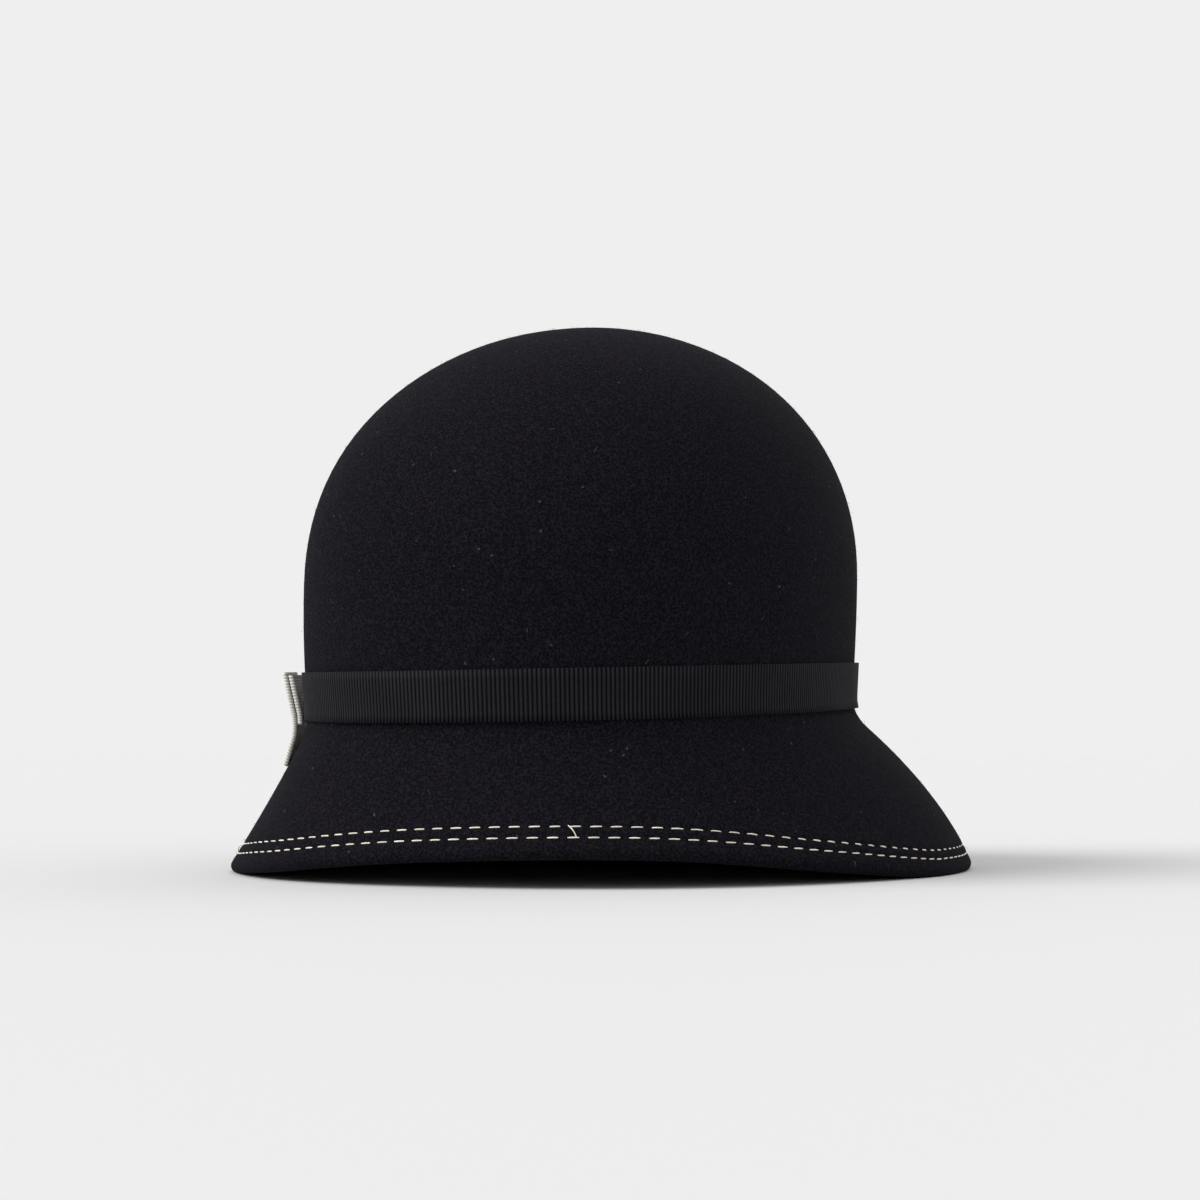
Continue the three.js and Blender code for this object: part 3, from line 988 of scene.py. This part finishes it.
nap = grown(
    "felt_nap",
    felt,
    NAP,
    keep_base=True,
    Density=NAP_DENSITY,
    Length=NAP_LENGTH * MM,
    Width=NAP_RADIUS * MM,
    Material=fibre_material("black_wool_fibre", (0.02, 0.019, 0.026, 1)),
)
lint = grown(
    "felt_lint",
    felt,
    NAP,
    keep_base=True,
    Density=LINT_DENSITY,
    Length=LINT_LENGTH * MM,
    Width=LINT_RADIUS * MM,
    Seed=SEED + 5,
    Material=fibre_material("pale_lint_fibre", (0.1, 0.1, 0.1, 1)),
)


# ---- Frame calls ----------------------------------------------------------------------------

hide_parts("felt_body")
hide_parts("ribbon_band")
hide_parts("trim_tab_under")
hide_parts("trim_tab_top")
for piece in (felt, nap, lint):
    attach(piece, "root")
for piece in (*stitch_rows, *thread_ends):
    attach(piece, "root")
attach(band, "root")
for piece in (tab_under, tab_top):
    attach(piece, "root")


# ---- Floor, light and camera ----------------------------------------------------------------

HAT_MIDDLE = (Vector(cad_box[0]) + Vector(cad_box[1])) / 2
TABLE_REACH = 40.0
TABLE_TONE = 0.575
ROOM_STRENGTH = 0.863
CAMERA_AZIMUTH = 24
CAMERA_ELEVATION = -4
CAMERA_DISTANCE = 0.75
CAMERA_LENS = 67
LIGHT_DISTANCE = 2.0

# Lights: (azimuth, elevation, spread, strength)
LIGHTS = {
    "key_light": (-50, 38, 40, 2.6),
    "fill_light": (60, 30, 60, 0.25),
    "back_light": (165, 50, 50, 0.3),
}


def build_stage():
    """A plain pale table that runs on far past the hat."""
    corners = [(x * TABLE_REACH, y * TABLE_REACH, 0) for x, y in ((-1, -1), (1, -1), (1, 1), (-1, 1))]
    mesh = bpy.data.meshes.new("pale_table")
    mesh.from_pydata(corners, [], [(0, 1, 2, 3)])
    floor = bpy.data.objects.new("pale_table", mesh)
    bpy.context.scene.collection.objects.link(floor)
    look = bpy.data.materials.new("pale_paper")
    look.use_nodes = True
    shader = look.node_tree.nodes["Principled BSDF"]
    shader.inputs["Base Color"].default_value = (TABLE_TONE, TABLE_TONE, TABLE_TONE, 1)
    shader.inputs["Roughness"].default_value = 0.9
    shader.inputs["Specular IOR Level"].default_value = 0.1
    mesh.materials.append(look)


def build_light(name, azimuth, elevation, spread, strength):
    """Soft even light from one side; spread is the angle that its source fills, in degrees."""
    data = bpy.data.lights.new(name, "SUN")
    data.angle = math.radians(spread)
    data.energy = strength
    light = bpy.data.objects.new(name, data)
    bpy.context.scene.collection.objects.link(light)
    aim(light, azimuth, elevation, LIGHT_DISTANCE)


def aim(thing, azimuth, elevation, distance):
    """Puts a light or the camera at angles from the hat's middle, and faces it there."""
    a, e = math.radians(azimuth), math.radians(elevation)
    way = Vector((math.sin(a) * math.cos(e), -math.cos(a) * math.cos(e), math.sin(e)))
    thing.location = HAT_MIDDLE + way * distance
    thing.rotation_euler = way.to_track_quat("Z", "Y").to_euler()


build_stage()
for light_name, (azimuth, elevation, spread, strength) in LIGHTS.items():
    build_light(light_name, azimuth, elevation, spread, strength)

world = bpy.data.worlds.new("studio")
world.use_nodes = True
world.node_tree.nodes["Background"].inputs["Color"].default_value = (1, 1, 1, 1)
world.node_tree.nodes["Background"].inputs["Strength"].default_value = ROOM_STRENGTH
bpy.context.scene.world = world
bpy.context.scene.view_settings.view_transform = "Standard"

camera = bpy.data.objects.new("camera", bpy.data.cameras.new("camera"))
camera.data.lens = CAMERA_LENS
bpy.context.scene.collection.objects.link(camera)
aim(camera, CAMERA_AZIMUTH, CAMERA_ELEVATION, CAMERA_DISTANCE)
bpy.context.scene.camera = camera

bpy.context.view_layer.update()
